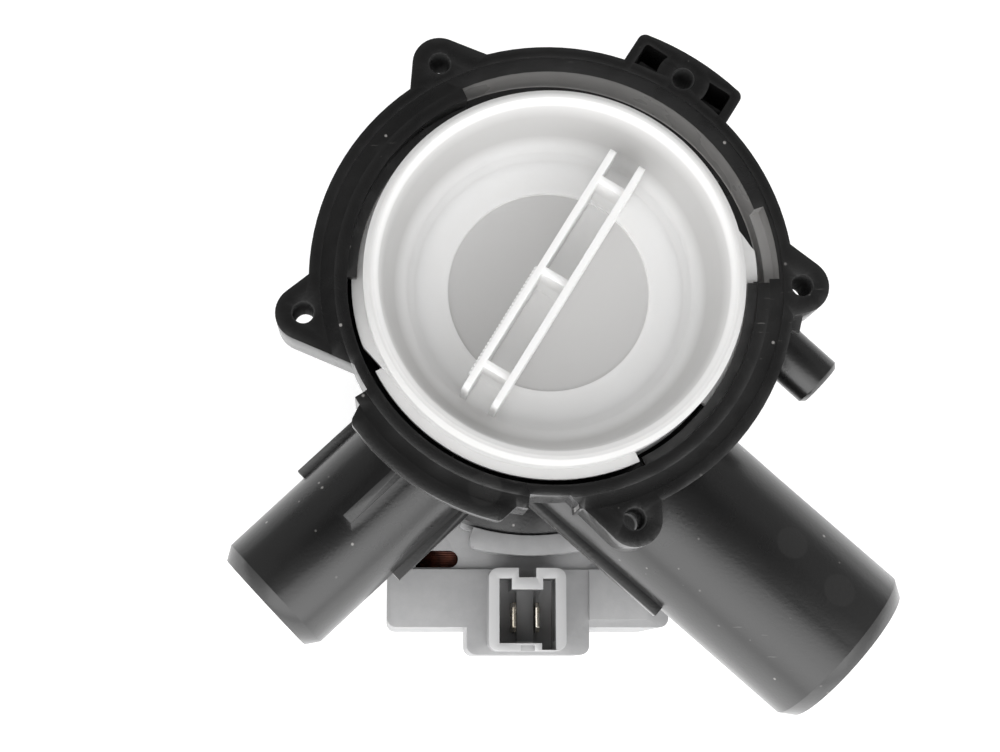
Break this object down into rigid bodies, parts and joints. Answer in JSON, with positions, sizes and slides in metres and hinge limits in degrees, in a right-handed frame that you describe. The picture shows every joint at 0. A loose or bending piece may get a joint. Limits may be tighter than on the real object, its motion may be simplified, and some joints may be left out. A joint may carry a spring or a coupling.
{
  "type": "washer drain pump",
  "caption": "Washing-machine drain pump: sump casing with screw ears and hose spigots, twist-in lint filter with strainer, impeller and permanent-magnet motor.",
  "frame": {"origin": "centre of the mounting flange's front face, on the pump axis", "axes": "+Z along the pump axis, out of the filter's mouth; -Y towards the motor's plug socket; +X to the right seen from the filter side"},
  "size_m": [0.1345, 0.1296, 0.103],
  "materials": {
    "casing_black": "satin",
    "filter_white": "satin",
    "seal_rubber": "matte",
    "motor_grey": "satin",
    "bobbin_plastic": "satin",
    "sintered_bronze": "matte",
    "copper_wire": "gloss",
    "core_steel": "satin",
    "tin_plate": "gloss",
    "shaft_steel": "polished",
    "washer_plastic": "gloss",
    "ferrite": "matte",
    "impeller_plastic": "satin"
  },
  "bodies": {
    "pump": {"pump_casing": "casing_black", "motor_flange": "motor_grey", "casing_seal": "seal_rubber", "bearing_cover": "bobbin_plastic", "front_bush": "sintered_bronze", "front_bush_cushion": "seal_rubber", "rear_bush": "sintered_bronze", "rear_bush_cushion": "seal_rubber", "stator_core": "core_steel", "left_bobbin": "bobbin_plastic", "right_bobbin": "bobbin_plastic", "left_winding": "copper_wire", "right_winding": "copper_wire", "coil_cover": "motor_grey", "rear_coil_cover": "motor_grey", "left_terminal": "tin_plate", "right_terminal": "tin_plate"},
    "impeller": {"impeller": "impeller_plastic", "pump_shaft": "shaft_steel", "drive_dog": "bobbin_plastic", "front_washer": "washer_plastic", "rear_washer": "washer_plastic"},
    "magnet": {"rotor_magnet": "ferrite", "magnet_sleeve": "bobbin_plastic"},
    "filter_carrier": {"filter_seal": "seal_rubber"},
    "filter": {"filter_cap": "filter_white", "strainer_basket": "filter_white"}
  },
  "joints": [
    {"name": "impeller_spin", "type": "hinge", "parent": "pump", "child": "impeller", "pos_m": [0, 0, 0], "axis": [0, 0, 1], "continuous": true},
    {"name": "magnet_slip", "type": "hinge", "parent": "impeller", "child": "magnet", "pos_m": [0, 0, 0], "axis": [0, 0, 1], "range_deg": [-135, 135]},
    {"name": "filter_pull", "type": "slide", "parent": "pump", "child": "filter_carrier", "axis": [0, 0, 1], "range_m": [0, 0.048]},
    {"name": "filter_turn", "type": "hinge", "parent": "filter_carrier", "child": "filter", "pos_m": [0, 0, 0], "axis": [0, 0, 1], "range_deg": [0, 720]}
  ],
  "couplings": [
    {"joint": "filter_pull", "follows": "filter_turn", "m_per_rad": 0.0038197}
  ]
}
